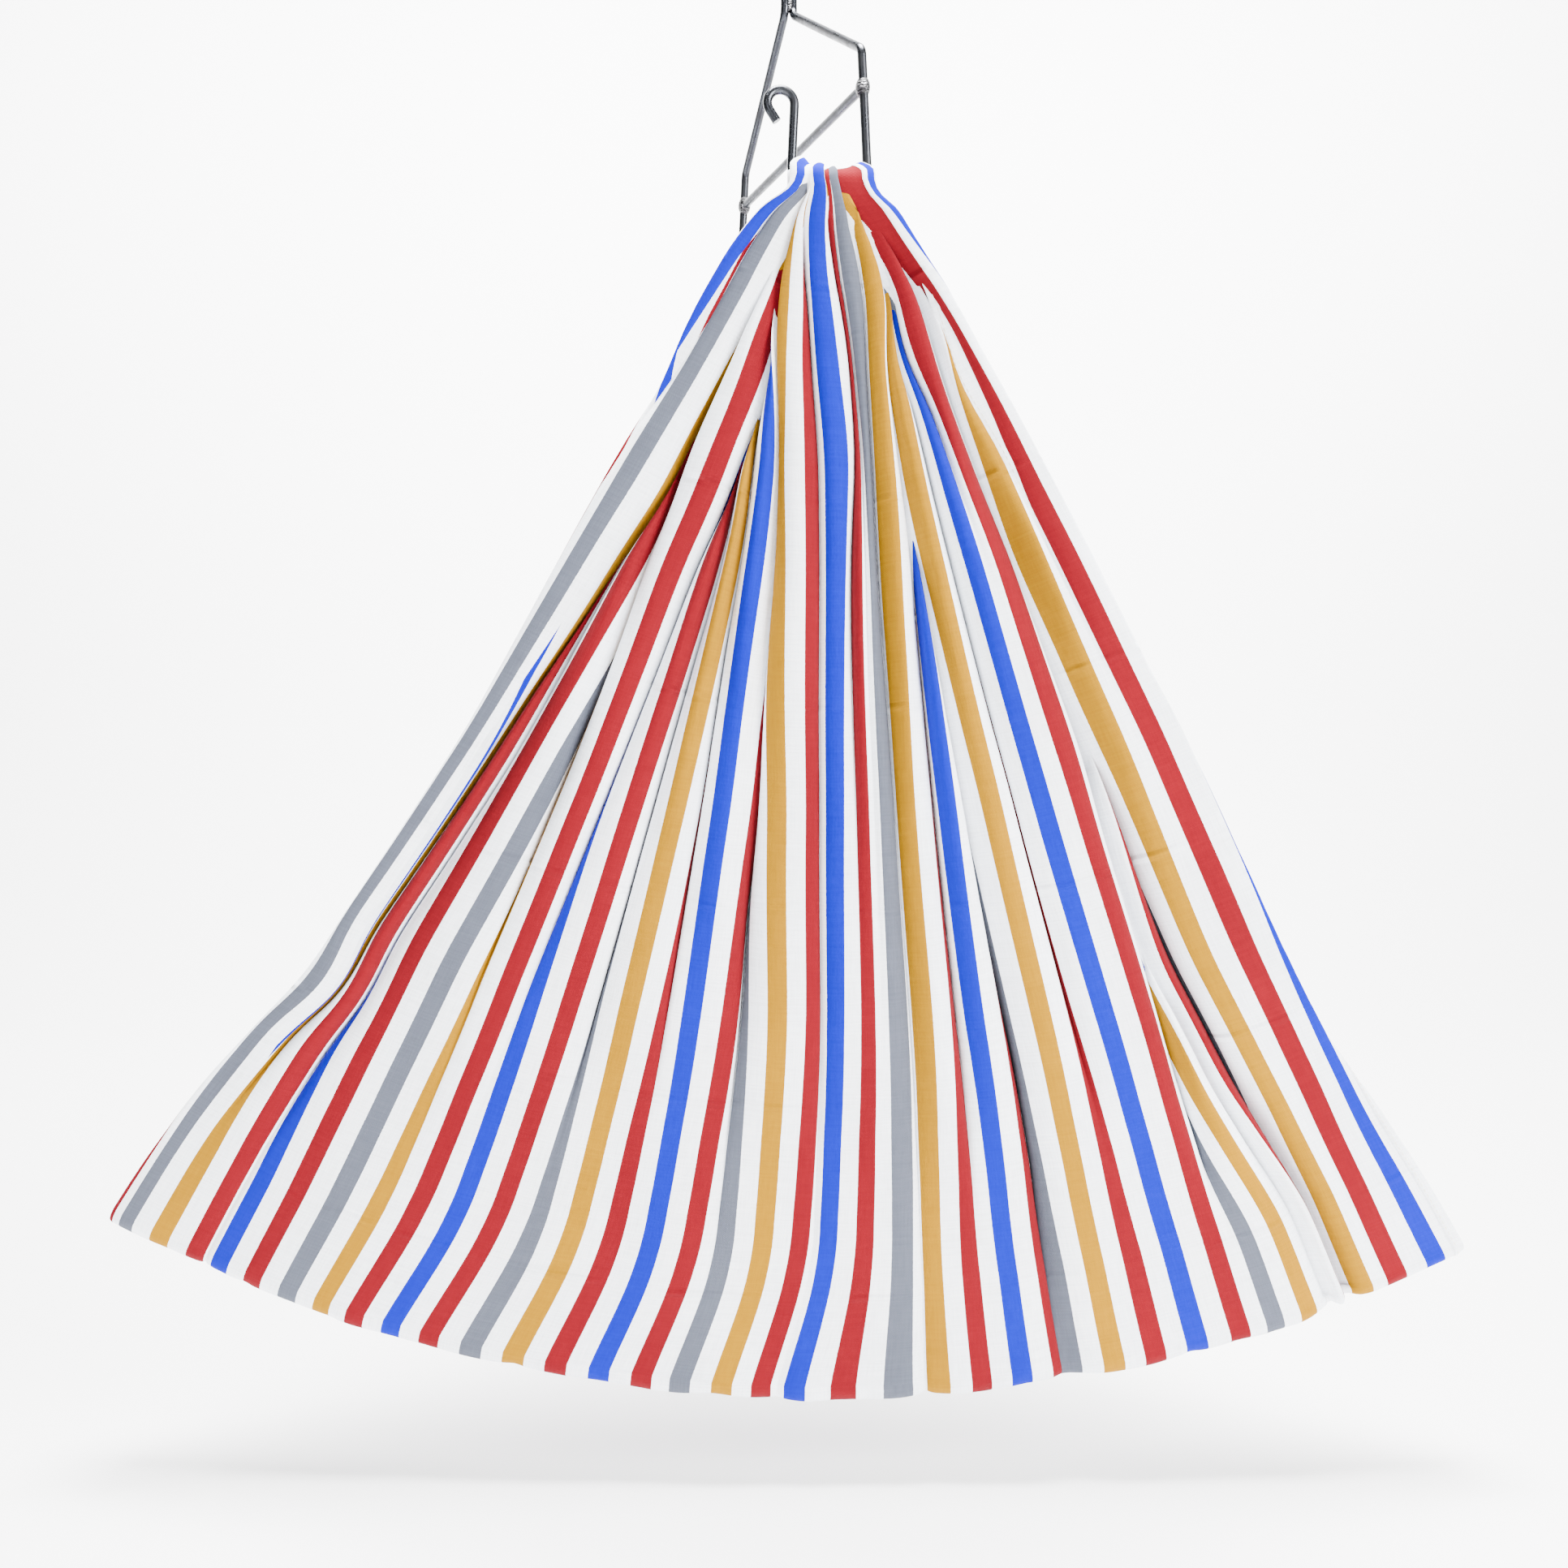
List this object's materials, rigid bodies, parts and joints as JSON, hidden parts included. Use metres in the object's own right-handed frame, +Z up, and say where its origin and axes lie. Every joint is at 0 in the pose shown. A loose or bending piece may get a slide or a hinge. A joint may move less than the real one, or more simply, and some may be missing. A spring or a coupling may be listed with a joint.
{
  "type": "sling hammock",
  "caption": "Striped cotton loop gathered over two curled hooks of a welded round-bar hanger, fanning out into a deep sling that hangs from one ring.",
  "frame": {"origin": "centre of the hanging ring, from which the whole hammock is hung", "axes": "+X along the sling from its left open end to its right one, +Y from the front hook to the rear hook, +Z up"},
  "size_m": [1.302, 0.3294, 1.391],
  "materials": {
    "steel": "bright chromed round bar, faintly pebbled, with grey reflections",
    "weld": "rippled weld beads under the same bright plating",
    "cotton": "plain-weave cotton, white with woven red, blue, yellow and grey stripes",
    "hem": "doubled white cotton, turned and stitched"
  },
  "bodies": {
    "hanger": {"front_hook_rod": "steel", "rear_hook_rod": "steel", "hanging_eye": "steel", "brace_rod": "steel", "brace_weld_front": "weld", "brace_weld_rear": "weld", "eye_weld": "weld", "neck_weld": "weld", "sling_front_gather": "cotton", "sling_rear_gather": "cotton", "sling_roof": "cotton"},
    "sling": {"sling_front_panel": "cotton", "sling_rear_panel": "cotton", "sling_bottom_fold": "cotton", "sling_left_hem": "hem", "sling_right_hem": "hem", "loop_seam": "hem"}
  },
  "joints": [
    {"name": "sling_sway", "type": "hinge", "parent": "hanger", "child": "sling", "pos_m": [0.0015, 0, -0.263], "axis": [0, 1, 0], "range_deg": [-12, 12]}
  ]
}
